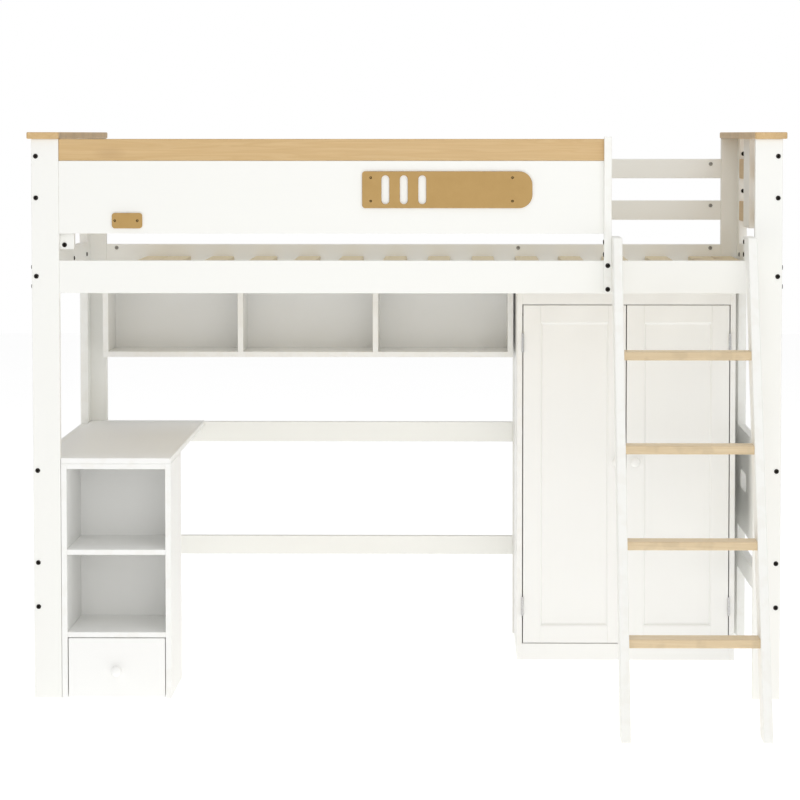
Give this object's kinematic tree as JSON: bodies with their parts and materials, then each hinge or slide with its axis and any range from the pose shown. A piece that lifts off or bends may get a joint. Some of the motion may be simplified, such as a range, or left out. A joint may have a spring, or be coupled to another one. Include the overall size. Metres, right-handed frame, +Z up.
{
  "type": "loft bed with desk",
  "caption": "White loft bed with pine trim over a desk with a drawer pedestal, a hanging bookshelf and a wardrobe with doors, reached by a sloping ladder.",
  "frame": {"origin": "on the floor, below the middle of the whole object's box", "axes": "+Z up, -Y towards the front with the ladder's foot, +X to the right when seen from the front, along the bed"},
  "size_m": [2.022, 1.633, 1.52],
  "materials": {
    "white_wood": "satin white paint on solid wood",
    "white_boards": "satin white paint on board",
    "white_knobs": "satin white paint on turned wood",
    "pine_trim": "clear lacquer on pine",
    "pine_slats": "bare planed pine",
    "pine_treads": "clear lacquer on pine",
    "tan_plaques": "tan stained board",
    "dark_steel": "blackened steel",
    "zinc_steel": "zinc plated",
    "bright_steel": "plated steel"
  },
  "bodies": {
    "frame": {"front_left_post": "white_wood", "front_right_post": "white_wood", "rear_left_post": "white_wood", "rear_right_post": "white_wood", "left_cap": "pine_trim", "right_cap": "pine_trim", "bed_end_rails": "white_wood", "end_guard_rails": "pine_trim", "end_centre_boards": "white_wood", "left_end_panel": "white_wood", "right_end_panel": "white_wood", "end_foot_rails": "white_wood", "front_bed_rail": "white_wood", "rear_bed_rail": "white_wood", "slat_cleats": "white_wood", "bed_slats": "pine_slats", "centre_beam": "white_wood", "guard_panel": "white_wood", "guard_top_strip": "pine_trim", "guard_end_post": "white_wood", "guard_batten": "white_wood", "large_plaque": "tan_plaques", "small_plaque": "tan_plaques", "rear_guard_rails": "white_wood", "mid_rear_leg": "white_wood", "rear_desk_rail": "white_wood", "rear_foot_rail": "white_wood", "desktop": "white_boards", "desk_cleat": "white_boards", "pedestal_sides": "white_boards", "pedestal_shelves": "white_boards", "pedestal_back": "white_boards", "drawer_runners": "white_boards", "bookshelf_boards": "white_boards", "bookshelf_uprights": "white_boards", "bookshelf_back": "white_boards", "wardrobe_sides": "white_boards", "wardrobe_boards": "white_boards", "wardrobe_face_rails": "white_boards", "wardrobe_back": "white_boards", "hanging_rod": "bright_steel", "rod_sockets": "bright_steel", "cabinet_hinge_leaves": "bright_steel", "ladder_stiles": "white_wood", "ladder_treads": "pine_treads", "frame_bolts": "dark_steel", "barrel_nuts": "zinc_steel", "plaque_screws": "dark_steel"},
    "left_door": {"left_door_frame": "white_boards", "left_door_panel": "white_boards", "left_door_knob": "white_knobs", "left_door_leaves": "bright_steel"},
    "right_door": {"right_door_frame": "white_boards", "right_door_panel": "white_boards", "right_door_knob": "white_knobs", "right_door_leaves": "bright_steel"},
    "drawer": {"drawer_front": "white_boards", "drawer_box": "white_boards", "drawer_bottom": "white_boards", "drawer_knob": "white_knobs"}
  },
  "joints": [
    {"name": "left_door_hinge", "type": "hinge", "parent": "frame", "child": "left_door", "pos_m": [0.32235, 0.336, 0.54], "axis": [0, 0, -1], "range_deg": [0, 90]},
    {"name": "right_door_hinge", "type": "hinge", "parent": "frame", "child": "right_door", "pos_m": [0.91565, 0.336, 0.54], "axis": [0, 0, 1], "range_deg": [0, 90]},
    {"name": "drawer_slide", "type": "slide", "parent": "frame", "child": "drawer", "axis": [0, -1, 0], "range_m": [0, 0.2]}
  ]
}
